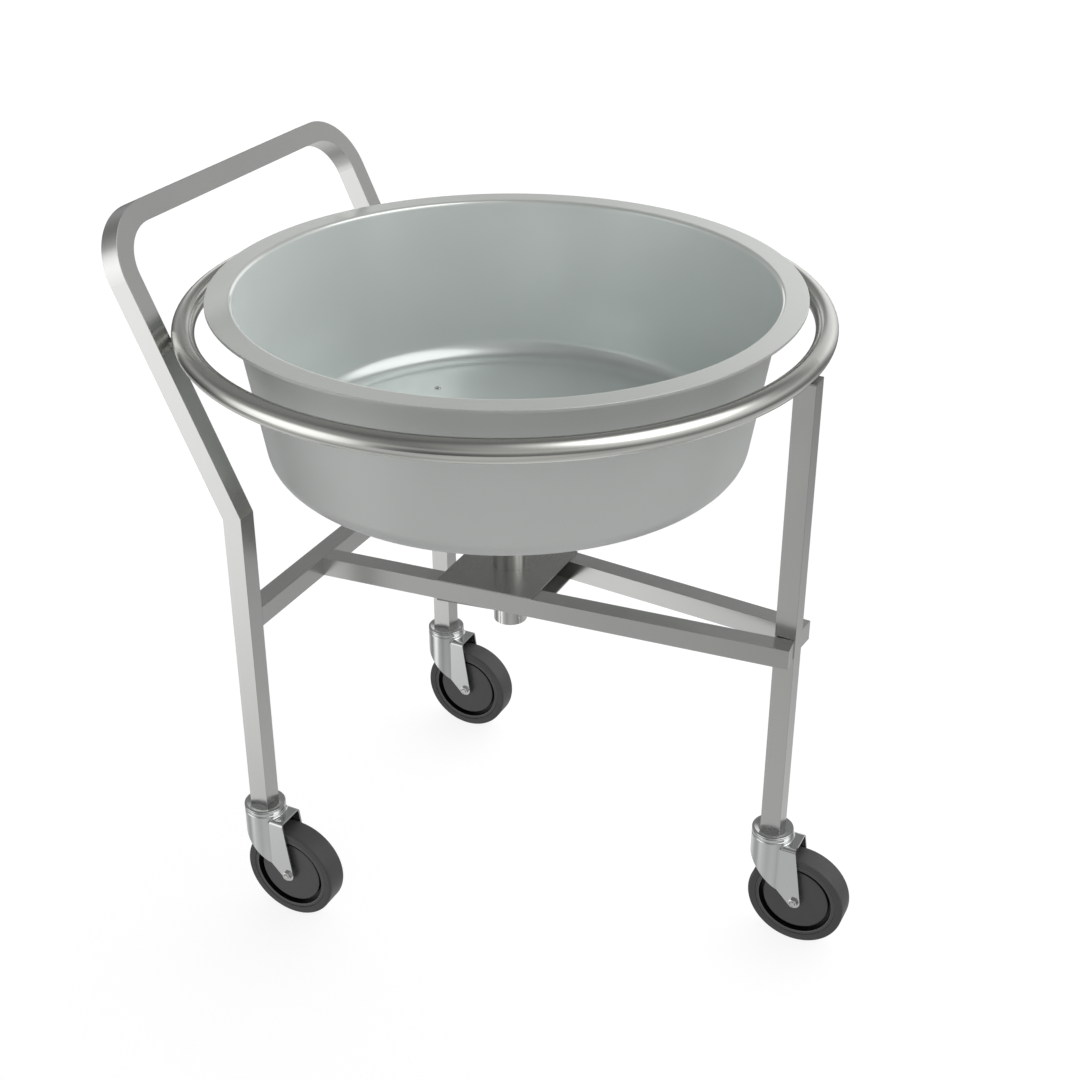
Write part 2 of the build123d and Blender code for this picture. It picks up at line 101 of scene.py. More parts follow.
class Wiring:
    """Adds nodes to one node tree and joins their sockets."""

    def __init__(self, tree: bpy.types.NodeTree) -> None:
        """Keeps the tree, emptied of what it held."""
        self.tree = tree
        tree.nodes.clear()

    def add(self, kind: str, inputs: dict | None = None, **settings: object) -> bpy.types.Node:
        """Adds a node.

        Args:
            kind: the node's type name, without its leading ShaderNode.
            inputs: a plain value, or another node's output, for each named or numbered input.
            settings: the node's own options, such as its operation.

        Returns:
            The new node.
        """
        node = self.tree.nodes.new("ShaderNode" + kind)
        for name, value in settings.items():
            setattr(node, name, value)
        for key, value in (inputs or {}).items():
            if isinstance(value, Socket):
                self.tree.links.new(value, node.inputs[key])
            else:
                node.inputs[key].default_value = value
        return node

    def here(self) -> Socket:
        """Gives the place on the piece."""
        return self.add("TexCoord").outputs["Object"]

    def math(self, operation: str, *values: Input) -> Socket:
        """Adds a Math node and returns its result."""
        return self.add("Math", dict(enumerate(values)), operation=operation).outputs[0]

    def vector(self, operation: str, *values: Input) -> Socket:
        """Adds a Vector Math node and returns its vector."""
        return self.add("VectorMath", dict(enumerate(values)), operation=operation).outputs["Vector"]

    def dot(self, first: Input, second: Input) -> Socket:
        """Adds a dot product and returns its number."""
        node = self.add("VectorMath", {0: first, 1: second}, operation="DOT_PRODUCT")
        return node.outputs["Value"]

    def noise(self, place: Socket, scale: float, detail: float, roughness: float = 0.5) -> Socket:
        """Adds a noise pattern.

        Args:
            place: the coordinates.
            scale: how many lumps fit into a unit of them.
            detail: how many finer layers lie over the lumps.
            roughness: how strong each finer layer is against the one before.

        Returns:
            The pattern, mostly within NOISE_RANGE.
        """
        inputs = {"Vector": place, "Scale": scale, "Detail": detail, "Roughness": roughness}
        return self.add("TexNoise", inputs).outputs[0]

    def fit(self, value: Input, source: tuple, target: tuple, smooth: bool = False) -> Socket:
        """Maps one range onto another.

        Args:
            value: the number to map.
            source: the range that it comes from.
            target: the range that it goes to.
            smooth: whether the ends are eased.

        Returns:
            The mapped number, clamped to the target range.
        """
        names = ("From Min", "From Max", "To Min", "To Max")
        inputs = {"Value": value, **dict(zip(names, (*source, *target)))}
        node = self.add("MapRange", inputs, interpolation_type="SMOOTHSTEP" if smooth else "LINEAR")
        return node.outputs["Result"]

    def spread(self, pattern: Socket, middle: float, reach: float) -> Socket:
        """Maps a noise pattern onto the range that reaches to both sides of a middle number."""
        return self.fit(pattern, NOISE_RANGE, (middle - reach, middle + reach))

    def blend(self, share: Input, first: Input, second: Input) -> Socket:
        """Mixes two colours.

        Args:
            share: how much of the second colour is taken, from 0 to 1.
            first: a colour, or another node's output.
            second: a colour, or another node's output.

        Returns:
            The mixed colour.
        """
        inputs = {0: share, MIX_FIRST: first, MIX_SECOND: second}
        for key in (MIX_FIRST, MIX_SECOND):
            if not isinstance(inputs[key], Socket):
                inputs[key] = (*inputs[key], 1.0)
        return self.add("Mix", inputs, data_type="RGBA").outputs[MIX_COLOUR]

    def drift(self, share: Socket, colour: Colour, shade: float) -> Socket:
        """Mixes a darker with a lighter tone of a colour.

        Args:
            share: how much of the lighter tone is taken, from 0 to 1.
            colour: the colour halfway between them.
            shade: how far each tone lies from it, as a share of the colour.

        Returns:
            The mixed colour.
        """
        dark = tuple(channel * (1.0 - shade) for channel in colour)
        light = tuple(channel * (1.0 + shade) for channel in colour)
        return self.blend(share, dark, light)

    def about(self, place: Socket, axis_point: Vector, flat: tuple) -> tuple[Socket, Socket]:
        """Measures a place about an axis through a point.

        Args:
            place: the place.
            axis_point: a point on the axis.
            flat: 1 for each direction across the axis and 0 for the one along it.

        Returns:
            The distance from the axis and the height over the point.
        """
        away = self.vector("SUBTRACT", place, tuple(axis_point))
        across = self.vector("MULTIPLY", away, flat)
        radius = self.add("VectorMath", {0: across}, operation="LENGTH").outputs["Value"]
        return radius, self.add("SeparateXYZ", {0: away}).outputs["Z"]

    def band(self, value: Socket, ends: tuple[float, float]) -> Socket:
        """Marks a range of a number.

        Args:
            value: the number.
            ends: the range's lower and upper end.

        Returns:
            1 inside the range and 0 outside it.
        """
        past_lower = self.math("GREATER_THAN", value, ends[0])
        before_upper = self.math("LESS_THAN", value, ends[1])
        return self.math("MULTIPLY", past_lower, before_upper)

    def surface(self, inputs: dict) -> None:
        """Adds a Principled shader with its inputs and joins it to the material's output."""
        shader = self.add("BsdfPrincipled", inputs).outputs[0]
        self.add("OutputMaterial", {"Surface": shader})


class Grain(Enum):
    """Which way the fine lines of a finish run.

    The numbers are the pattern's pace in X, Y and Z. Round the bowl's axis they mark the ways across it.
    """

    ALONG_X = (0.02, 1.0, 1.0)
    ALONG_Y = (1.0, 0.02, 1.0)
    ALONG_Z = (1.0, 1.0, 0.02)
    ROUND_BOWL_AXIS = (1.0, 1.0, 0.0)
    NONE = (1.0, 1.0, 1.0)


def start_material(name: str) -> tuple[bpy.types.Material, Wiring]:
    """Makes an empty material.

    Args:
        name: the finish's name.

    Returns:
        The material and the wiring of its node tree.
    """
    material = bpy.data.materials.new(name)
    material.use_nodes = True
    return material, Wiring(material.node_tree)


@dataclass(frozen=True)
class MetalFinish:
    """Steel or bronze with fine grain, soft clouds and a little wear in its gloss."""

    name: str
    colour: Colour
    roughness: float
    grain: Grain = Grain.NONE
    turn: float = 0.0
    grain_size: float = 0.0011
    grain_depth: float = 0.000003
    grain_share: float = 0.6
    gloss_spread: float = 0.03
    cloud_size: float = 0.09
    cloud_shade: float = 0.03
    metal: float = 1.0

    def pattern(self, wiring: Wiring) -> Socket:
        """Lays out the coordinates that the grain follows.

        Args:
            wiring: the material's wiring.

        Returns:
            Coordinates in grain widths, drawn out along the grain.
        """
        place = wiring.here()
        if self.grain is Grain.ROUND_BOWL_AXIS:
            radius, height = wiring.about(place, BOWL_AXIS, self.grain.value)
            section = wiring.add("CombineXYZ", {"X": radius, "Y": height}).outputs[0]
            return wiring.vector("MULTIPLY", section, (1.0 / self.grain_size,) * 3)
        turned = wiring.add("Mapping", {"Vector": place, "Rotation": (0.0, 0.0, self.turn)}).outputs[0]
        stretch = tuple(share / self.grain_size for share in self.grain.value)
        return wiring.vector("MULTIPLY", turned, stretch)

    def tone(self, wiring: Wiring, clouds: Socket) -> Socket:
        """Lays out the colour.

        Args:
            wiring: the material's wiring.
            clouds: the broad drift from 0 to 1.

        Returns:
            The colour, darker and lighter with the drift.
        """
        return wiring.drift(clouds, self.colour, self.cloud_shade)

    def gloss(self, wiring: Wiring, drift: Socket) -> Socket:
        """Lays out the roughness.

        Args:
            wiring: the material's wiring.
            drift: the grain and the clouds together.

        Returns:
            The roughness, higher and lower with the drift.
        """
        return wiring.spread(drift, self.roughness, self.gloss_spread)

    def shine(self, wiring: Wiring) -> float | Socket:
        """Gives the metallic share, the same all over."""
        return self.metal

    def build(self) -> bpy.types.Material:
        """Builds the material: metal whose colour drifts with clouds and whose gloss follows the grain.

        Returns:
            The finished material.
        """
        material, wiring = start_material(self.name)
        clouds = wiring.noise(wiring.here(), 1.0 / self.cloud_size, detail=3.0, roughness=0.45)
        lines = wiring.noise(self.pattern(wiring), 1.0, detail=2.0, roughness=0.6)
        line_part = wiring.math("MULTIPLY", lines, self.grain_share)
        cloud_part = wiring.math("MULTIPLY", clouds, 1.0 - self.grain_share)
        mixed = wiring.math("ADD", line_part, cloud_part)
        bump = wiring.add("Bump", {"Strength": 1.0, "Distance": self.grain_depth, "Height": lines})
        wiring.surface({
            "Base Color": self.tone(wiring, clouds),
            "Metallic": self.shine(wiring),
            "Roughness": self.gloss(wiring, mixed),
            "Normal": bump.outputs[0],
        })
        return material


@dataclass(frozen=True)
class SpunFinish(MetalFinish):
    """Spun steel: a burnished mouth, a rougher outside, painted light on the flat rim's top
    and painted shade on the outside under the rim.

    The rim's fade and the mouth are ranges of the distance from the bowl's axis. Heights are from the
    floor.
    """

    # Painted light: the flat rim's top is given this lighter colour
    rim_light_colour: Colour = (0.895, 0.92, 0.885)
    rim_fade: tuple[float, float] = (0.3135, 0.3155)
    mouth: tuple[float, float] = (0.3138, 0.3192)
    mouth_height: float = 0.80
    mouth_share: float = 0.35
    outside_ease: tuple[float, float] = (-0.2, 0.2)
    outer_roughness: float = 0.40
    outer_tint: Colour = (1.045, 1.018, 1.01)
    # Painted shade: the outside is darkened by this share between these heights, under the rim
    under_rim_shade_heights: tuple[float, float] = (0.745, 0.790)
    under_rim_shade_share: float = 0.84
    flat_facing: tuple[float, float] = (0.3, 0.9)
    flat_metal: float = 0.5

    def place(self, wiring: Wiring) -> tuple[Socket, Socket]:
        """Gives the distance from the bowl's axis and the height above the floor.

        Args:
            wiring: the material's wiring.

        Returns:
            The radius and the height.
        """
        floor_point = Vector((BOWL_AXIS.x, BOWL_AXIS.y, 0.0))
        return wiring.about(wiring.here(), floor_point, Grain.ROUND_BOWL_AXIS.value)

    def outside(self, wiring: Wiring) -> Socket:
        """Marks where the sheet faces out or down, by its normal along the way out less its normal up.

        Args:
            wiring: the material's wiring.

        Returns:
            1 on the outside and 0 on the inside.
        """
        coords = wiring.add("TexCoord").outputs
        away = wiring.vector("SUBTRACT", coords["Object"], tuple(BOWL_AXIS))
        out = wiring.vector("NORMALIZE", wiring.vector("MULTIPLY", away, Grain.ROUND_BOWL_AXIS.value))
        facing = wiring.dot(coords["Normal"], wiring.vector("SUBTRACT", out, (0.0, 0.0, 1.0)))
        return wiring.fit(facing, self.outside_ease, (0.0, 1.0), smooth=True)

    def tone(self, wiring: Wiring, clouds: Socket) -> Socket:
        """Lays out the colour, tinted outside, with painted light on the flat rim's top and painted shade
        under the rim.

        Args:
            wiring: the material's wiring.
            clouds: the broad drift from 0 to 1.

        Returns:
            The colour.
        """
        radius, height = self.place(wiring)
        outside = self.outside(wiring)
        # Painted shade: the outside darkens towards the rim between these heights
        upper = wiring.fit(height, self.under_rim_shade_heights, (0.0, 1.0), smooth=True)
        inner = super().tone(wiring, clouds)
        outer = wiring.vector("MULTIPLY", inner, self.outer_tint)
        under_rim_shade = wiring.vector("MULTIPLY", outer, (self.under_rim_shade_share,) * 3)
        walls = wiring.blend(outside, inner, wiring.blend(upper, outer, under_rim_shade))
        # Painted light on the flat rim's top, not on its outside
        past_mouth = wiring.fit(radius, self.rim_fade, (0.0, 1.0), smooth=True)
        rim = wiring.math("MULTIPLY", past_mouth, wiring.math("SUBTRACT", 1.0, outside))
        return wiring.blend(rim, walls, self.rim_light_colour)

    def gloss(self, wiring: Wiring, drift: Socket) -> Socket:
        """Lays out the roughness, low on the mouth's rounding and high outside.

        Args:
            wiring: the material's wiring.
            drift: the grain and the clouds together.

        Returns:
            The roughness.
        """
        radius, height = self.place(wiring)
        high = wiring.math("GREATER_THAN", height, self.mouth_height)
        mouth = wiring.math("MULTIPLY", high, wiring.band(radius, self.mouth))
        share = wiring.fit(mouth, (0.0, 1.0), (1.0, self.mouth_share))
        burnished = wiring.math("MULTIPLY", super().gloss(wiring, drift), share)
        rougher = wiring.math("MULTIPLY", self.outside(wiring), self.outer_roughness - self.roughness)
        return wiring.math("ADD", burnished, rougher)

    def shine(self, wiring: Wiring) -> float | Socket:
        """Gives the metallic share, higher where the sheet lies flat and gets wiped the most.

        Args:
            wiring: the material's wiring.

        Returns:
            The share, eased by how far the surface faces up.
        """
        facing_up = wiring.add("SeparateXYZ", {0: wiring.add("TexCoord").outputs["Normal"]}).outputs["Z"]
        return wiring.fit(facing_up, self.flat_facing, (self.metal, self.flat_metal), smooth=True)


@dataclass(frozen=True)
class MouldedFinish:
    """Moulded plastic or rubber with a fine matt skin and faint mottling."""

    name: str
    colour: Colour
    roughness: float
    skin_size: float = 0.0009
    skin_depth: float = 0.00003
    mottle_size: float = 0.02
    mottle_shade: float = 0.14
    gloss_spread: float = 0.06

    def tone(self, wiring: Wiring, mottle: Socket) -> Socket:
        """Lays out the colour.

        Args:
            wiring: the material's wiring.
            mottle: the drift from 0 to 1.

        Returns:
            The colour, darker and lighter with the drift.
        """
        return wiring.drift(mottle, self.colour, self.mottle_shade)

    def build(self) -> bpy.types.Material:
        """Builds the material: a body whose colour and gloss drift, with a fine pebbled skin.

        Returns:
            The finished material.
        """
        material, wiring = start_material(self.name)
        mottle = wiring.noise(wiring.here(), 1.0 / self.mottle_size, detail=4.0)
        pebbles = wiring.noise(wiring.here(), 1.0 / self.skin_size, detail=2.0)
        bump = wiring.add("Bump", {"Strength": 1.0, "Distance": self.skin_depth, "Height": pebbles})
        wiring.surface({
            "Base Color": self.tone(wiring, mottle),
            "Roughness": wiring.spread(mottle, self.roughness, self.gloss_spread),
            "Normal": bump.outputs[0],
        })
        return material


@dataclass(frozen=True)
class WheelFinish(MouldedFinish):
    """A moulded wheel with painted shade in its groove and painted highlights on its rim's two edges.

    The groove and the edges are ranges of the distance from the axle.
    """

    joint: str = "roll_front"
    across_axle: tuple[float, float, float] = (1.0, 0.0, 1.0)
    groove: tuple[float, float] = (0.0424, 0.04765)
    # Painted shade: the groove is given this near-black colour
    groove_shade_colour: Colour = (0.004, 0.004, 0.004)
    # Painted highlights: light bands on the rim's two edges
    highlight_edges: tuple[tuple[float, float], ...] = ((0.04765, 0.0486), (0.0511, 0.0521))
    highlight_colour: Colour = (0.17, 0.17, 0.17)

    def tone(self, wiring: Wiring, mottle: Socket) -> Socket:
        """Lays out the colour with painted shade in the groove and painted highlights on the rim's edges.

        Args:
            wiring: the material's wiring.
            mottle: the drift from 0 to 1.

        Returns:
            The colour.
        """
        plain = super().tone(wiring, mottle)
        radius, _ = wiring.about(wiring.here(), joint_place(self.joint), self.across_axle)
        # Painted shade in the groove, then painted highlights on the rim's edges
        colour = wiring.blend(wiring.band(radius, self.groove), plain, self.groove_shade_colour)
        for edge in self.highlight_edges:
            colour = wiring.blend(wiring.band(radius, edge), colour, self.highlight_colour)
        return colour


def dress(node: str, material: bpy.types.Material) -> None:
    """Gives a CAD node its finish.

    Args:
        node: the node's name.
        material: the finish.
    """
    piece = frame["nodes"][node]
    if not piece.material_slots:
        piece.data.materials.append(material)
    for entry in piece.material_slots:
        entry.material = material
    LOG.info("%s in %s", node, material.name)


class Facing(Enum):
    """Where a turned piece's outer end points, with the two directions across it."""

    RIGHT = ((0.0, -1.0, 0.0), (1.0, 0.0, 0.0), (0.0, 0.0, 1.0))
    LEFT = ((0.0, 1.0, 0.0), (1.0, 0.0, 0.0), (0.0, 0.0, 1.0))
    UP = ((0.0, 0.0, 1.0), (1.0, 0.0, 0.0), (0.0, 1.0, 0.0))


COLUMNS = 144
TURN = np.arange(COLUMNS) * 2.0 * np.pi / COLUMNS


def hexagon(flats: float) -> np.ndarray:
    """Gives a hexagon's radius round its middle.

    The radius is half the distance between flats over the cosine of the angle to the nearest flat's middle.

    Args:
        flats: the distance between two opposite flats.

    Returns:
        One radius for each column, with a corner at the first.
    """
    from_flat = TURN % (np.pi / 3.0) - np.pi / 6.0
    return flats / 2.0 / np.cos(from_flat)


def chamfered_hexagon(
    flats: float, height: float, face_share: float = 0.955
) -> tuple[np.ndarray, np.ndarray]:
    """Gives the side of a nut or bolt head, its corners cut by a flat cone.

    The cone starts on the face as a circle just inside the flats. It widens by the root of three times its
    depth, so it meets the hexagon deepest at the corners.

    Args:
        flats: the distance between two opposite flats.
        height: the depth of the side.
        face_share: the face's width as a share of the flats.

    Returns:
        Radii and depths of the face's edge, the cone's lower edge and the foot.
    """
    outline = hexagon(flats)
    circle = np.full(COLUMNS, face_share * flats / 2.0)
    crease = (outline - circle) / math.sqrt(3.0)
    depth = np.stack((np.zeros(COLUMNS), crease, np.full(COLUMNS, height)))
    return np.stack((circle, outline, outline)), depth


def rings(pairs: list[tuple[float, float]] | np.ndarray) -> tuple[np.ndarray, np.ndarray]:
    """Gives round rings, whose radius is the same in every column.

    Args:
        pairs: a radius and a depth for each ring.

    Returns:
        Radii and depths, one row for each ring.
    """
    radius, depth = np.array(pairs).T[:, :, None] * np.ones(COLUMNS)
    return radius, depth


def rounded(
    corners: np.ndarray, radii: np.ndarray, steps: int = 9, guard: float = 0.0002
) -> np.ndarray:
    """Rounds the corners of an outline between its two ends.

    A rounding's centre lies off its corner by the outgoing less the incoming direction, times the radius
    over the sine of the turn. Its points swing about the centre from the incoming to the outgoing side. One
    more point a short way along each side keeps the side's shading straight.

    Args:
        corners: the outline's points, the first and the last of them its ends.
        radii: a radius for each corner between the ends.
        steps: how many points a rounding has.
        guard: how far the extra points lie from the rounding.

    Returns:
        The points of all roundings in order.
    """
    sides = np.diff(corners, axis=0)
    sides /= np.linalg.norm(sides, axis=1)[:, None]
    before, after = sides[:-1], sides[1:]
    turn = np.arccos((before * after).sum(axis=1))
    centre = corners[1:-1] + (after - before) * (radii / np.sin(turn))[:, None]
    cut = (radii * np.tan(turn / 2.0))[:, None]
    start, end = corners[1:-1] - before * cut, corners[1:-1] + after * cut
    swing = (np.linspace(0.0, 1.0, steps) * turn[:, None])[..., None]
    ahead = before * radii[:, None]
    arcs = centre[:, None] + (start - centre)[:, None] * np.cos(swing) + ahead[:, None] * np.sin(swing)
    lead, trail = start - before * guard, end + after * guard
    return np.concatenate((lead[:, None], arcs, trail[:, None]), axis=1).reshape(-1, 2)


def skin(rows: int, loop: bool) -> tuple[np.ndarray, np.ndarray]:
    """Joins neighbouring rings with quads, and shuts the two end rings with fans.

    Args:
        rows: the number of rings, the two poles not counted.
        loop: whether the last ring meets the first again, as in a piece with a bore.

    Returns:
        The corners of the quads and of the triangles. With poles, point 0 is the first pole and the last
        point is the other.
    """
    first = 0 if loop else 1
    index = first + np.arange(rows * COLUMNS).reshape(rows, COLUMNS)
    ahead = np.roll(index, -1, axis=1)
    turned = np.roll(np.stack((index, ahead)), -1, axis=1)
    quads = np.stack((index, ahead, turned[1], turned[0]), axis=-1)
    if loop:
        return quads.reshape(-1, 4), np.empty((0, 3), dtype=int)
    first_fan = np.stack((ahead[0], index[0], np.zeros_like(index[0])), axis=-1)
    last_fan = np.stack((index[-1], ahead[-1], np.full_like(index[0], rows * COLUMNS + 1)), axis=-1)
    return quads[:-1].reshape(-1, 4), np.vstack((first_fan, last_fan))


@dataclass(frozen=True)
class Turned:
    """A closed piece made of rings round an axis, repeated at one or more places.

    A point lies at its place, less its depth along the axis, plus its radius times the cosine and sine of
    its turn in the two directions across.
    """

    name: str
    node: str
    body: str
    slot: str
    facing: Facing
    places: np.ndarray
    radius: np.ndarray
    depth: np.ndarray
    loop: bool = False

    def points(self) -> np.ndarray:
        """Works out the points of one copy about its place.

        Returns:
            One row for each point, with a pole before and after the rings unless they loop.
        """
        axis, first, second = (np.array(direction) for direction in self.facing.value)
        across = np.cos(TURN)[:, None] * first + np.sin(TURN)[:, None] * second
        grid = self.radius[..., None] * across - self.depth[..., None] * axis
        flat = grid.reshape(-1, 3)
        if self.loop:
            return flat
        poles = (-self.depth[0, 0] * axis, -self.depth[-1, 0] * axis)
        return np.vstack((poles[0], flat, poles[1]))

    def build(self, material: bpy.types.Material) -> None:
        """Builds the mesh, turns its faces outwards by the sign of its volume and puts it on its body.

        Args:
            material: the piece's finish.
        """
        points = self.points()
        quads, fans = skin(len(self.radius), self.loop)
        corners = points[np.vstack((quads[:, (0, 1, 2)], quads[:, (0, 2, 3)], fans))]
        volume = np.einsum("ij,ij->i", corners[:, 0], np.cross(corners[:, 1], corners[:, 2])).sum()
        if volume < 0.0:
            quads, fans = quads[:, ::-1], fans[:, ::-1]
        shift = (np.arange(len(self.places)) * len(points))[:, None, None]
        faces = (quads + shift).reshape(-1, 4).tolist() + (fans + shift).reshape(-1, 3).tolist()
        mesh = bpy.data.meshes.new(self.name)
        mesh.from_pydata((self.places[:, None] + points).reshape(-1, 3).tolist(), [], faces)
        mesh.shade_smooth()
        mesh.set_sharp_from_angle(angle=SHARP_ANGLE)
        mesh.materials.append(material)
        piece = bpy.data.objects.new(self.name, mesh)
        bpy.context.scene.collection.objects.link(piece)
        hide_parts(self.node)
        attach(piece, self.body)
        LOG.info("%s in place of %s", self.name, self.node)


@dataclass
class Frame:
    """Legs, rails, crossbar and handle of square tube."""

    colour: Colour = (0.60, 0.606, 0.59)
    roughness: float = 0.25
    grain_depth: float = 0.000001
    gloss_spread: float = 0.02
    upright_nodes: tuple[str, ...] = (
        "front_leg", "rear_leg_left", "rear_leg_right", "push_handle", "rail_caps", "ring_lugs",
    )

    def rail_turn(self) -> float:
        """Measures how far the rails splay.

        Returns:
            The angle between the left rail and the X axis, from the rail's box in plan.
        """
        low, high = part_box("rail_left")
        wide = high - low
        return math.atan2(wide.y, wide.x)

    def finish(self, name: str, grain: Grain, turn: float = 0.0) -> bpy.types.Material:
        """Builds the tube's satin finish with its grain one way.

        Args:
            name: the finish's name.
            grain: the way that its lines run.
            turn: how far that way is turned about the Z axis.

        Returns:
            The finished material.
        """
        finish = MetalFinish(
            name, self.colour, self.roughness, grain, turn,
            grain_depth=self.grain_depth, gloss_spread=self.gloss_spread,
        )
        return finish.build()

    def dress(self) -> None:
        """Dresses each tube with its grain along its length."""
        upright = self.finish("upright_tube", Grain.ALONG_Z)
        for node in self.upright_nodes:
            dress(node, upright)
        dress("rear_crossbar", self.finish("cross_tube", Grain.ALONG_Y))
        for side, sign in (("left", 1.0), ("right", -1.0)):
            turn = sign * self.rail_turn()
            dress(f"rail_{side}", self.finish(f"rail_tube_{side}", Grain.ALONG_X, turn))


@dataclass
class BumperRing:
    """The polished ring round the bowl."""

    finish: MetalFinish = MetalFinish(
        "polished_ring", (0.655, 0.66, 0.625), 0.19, Grain.ROUND_BOWL_AXIS,
        grain_depth=0.0000005, gloss_spread=0.02,
    )

    def dress(self) -> None:
        """Dresses the ring."""
        dress("bumper_ring", self.finish.build())


@dataclass
class Pivot:
    """Plates, hub and spindle under the bowl."""

    plate: MetalFinish = MetalFinish(
        "pivot_plate", (0.40, 0.405, 0.385), 0.28, grain_depth=0.000001, metal=0.8,
    )
    lower_plate: MetalFinish = MetalFinish("lower_plate", (0.40, 0.405, 0.385), 0.35, metal=0.3)
    hub: MetalFinish = MetalFinish("polished_hub", (0.72, 0.725, 0.705), 0.10, Grain.ALONG_Z)
    bright: MetalFinish = MetalFinish("bright_steel", (0.62, 0.62, 0.61), 0.2)
    bronze: MetalFinish = MetalFinish("bush_bronze", (0.60, 0.42, 0.20), 0.28)

    def dress(self) -> None:
        """Dresses the pivot's pieces."""
        plate = self.plate.build()
        for node in ("upper_pivot_plate", "bowl_carrier", "front_leg_cap"):
            dress(node, plate)
        dress("lower_pivot_plate", self.lower_plate.build())
        dress("hub_tube", self.hub.build())
        bright = self.bright.build()
        for node in ("spindle", "spindle_washer", "retaining_ring", "bowl_nuts"):
            dress(node, bright)
        bronze = self.bronze.build()
        for node in ("upper_hub_bush", "lower_hub_bush", "thrust_washer"):
            dress(node, bronze)


@dataclass
class Bowl:
    """The spun bowl."""

    finish: SpunFinish = SpunFinish(
        "spun_bowl", (0.77, 0.815, 0.80), 0.18, Grain.ROUND_BOWL_AXIS,
        grain_depth=0.000001, gloss_spread=0.02, metal=0.25,
    )
    rim_width: float = 0.028
    sheet: float = 0.002
    taper: float = 9.0
    corner: float = 0.030
    mouth_rounding: float = 0.003
    rim_lip: float = 0.0034
    rim_edge: float = 0.0006
    crisp_edge: float = 0.00015

    def sheet_outline(self) -> np.ndarray:
        """Draws the sheet's section, from the axis under the floor, round the rim and back to the axis.

        The wall leans out by the taper. Its inside lies in from its outside by the sheet over the taper's
        cosine.

        Returns:
            A distance from the axis and a height for each point.
        """
        low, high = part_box("bowl")
        rim = (high.x - low.x) / 2.0
        slope = math.tan(math.radians(self.taper))
        lean_in = self.sheet / math.cos(math.radians(self.taper))
        mouth = rim - self.rim_width
        foot = mouth - (high.z - low.z) * slope
        under, lip = high.z - self.sheet, high.z - self.rim_lip
        floor = low.z + self.sheet
        corners = np.array([
            (0.0, low.z), (foot, low.z), (mouth - self.sheet * slope, under), (rim - self.sheet, under),
            (rim - self.sheet, lip), (rim, lip), (rim, high.z), (mouth - lean_in, high.z),
            (foot + self.sheet * slope - lean_in, floor), (0.0, floor),
        ])
        crisp = [self.crisp_edge] * 3
        inner = [self.mouth_rounding + self.sheet, self.corner - self.sheet]
        radii = np.array([self.corner, self.mouth_rounding, *crisp, self.rim_edge, *inner])
        return rounded(corners, radii)

    def turned_bowl(self) -> Turned:
        """Turns the sheet's section about the bowl's axis, each of its points drawn out into a ring.

        Returns:
            The bowl.
        """
        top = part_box("bowl")[1].z
        outline = self.sheet_outline()
        radius, depth = rings(np.stack((outline[:, 0], top - outline[:, 1]), axis=-1))
        places = np.array([(BOWL_AXIS.x, BOWL_AXIS.y, top)])
        return Turned(
            "turned_bowl", node="bowl", body="bowl", slot="bowl_steel",
            facing=Facing.UP, places=places, radius=radius, depth=depth,
        )

    def dress(self) -> None:
        """Turns the bowl in its spun finish."""
        self.turned_bowl().build(self.finish.build())


@dataclass
class BowlScrews:
    """The three screws through the bowl's floor."""

    finish: MetalFinish = MetalFinish("screw_steel", (0.50, 0.50, 0.49), 0.2)
    turns: tuple[float, ...] = (145.0, 265.0, 25.0)
    circle: float = 0.197092
    head_radius: float = 0.00425
    head_height: float = 0.0018
    dome_share: float = 0.8
    dome_reach: float = 0.998
    dome_rings: int = 12
    shank_radius: float = 0.00175
    socket_flats: float = 0.0025
    socket_depth: float = 0.0011
    end_bevel: float = 0.0004

    def socket_screws(self) -> Turned:
        """Shapes the screws: a low dome with a hexagonal socket on a shank.

        The dome's depth below its top is a share of the head's height times one less the root of one less
        the squared share of its radius, stopped just short of the edge. The socket's wall keeps the
        hexagon's radius from the dome down to its floor.

        Returns:
            The three screws as one piece.
        """
        low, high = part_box("bowl_screws")
        turn = np.radians(self.turns)
        around = np.stack((np.cos(turn), np.sin(turn), np.zeros_like(turn)), axis=-1) * self.circle
        places = around + np.array((BOWL_AXIS.x, BOWL_AXIS.y, high.z))
        socket = hexagon(self.socket_flats)
        share = np.linspace(0.0, 1.0, self.dome_rings)[:, None]
        dome_radius = socket + (self.head_radius - socket) * share
        slope = 1.0 - np.sqrt(1.0 - self.dome_reach * (dome_radius / self.head_radius) ** 2)
        dome_depth = self.dome_share * self.head_height * slope
        length = high.z - low.z
        under = rings([
            (self.head_radius, self.head_height), (self.shank_radius, self.head_height),
            (self.shank_radius, length - self.end_bevel), (self.shank_radius - self.end_bevel, length),
        ])
        radius = np.vstack((socket[None], dome_radius, under[0]))
        depth = np.vstack((np.full((1, COLUMNS), self.socket_depth), dome_depth, under[1]))
        return Turned(
            "socket_screws", node="bowl_screws", body="bowl", slot="bright_steel",
            facing=Facing.UP, places=places, radius=radius, depth=depth,
        )

    def dress(self) -> None:
        """Sets the screws in the bowl."""
        self.socket_screws().build(self.finish.build())


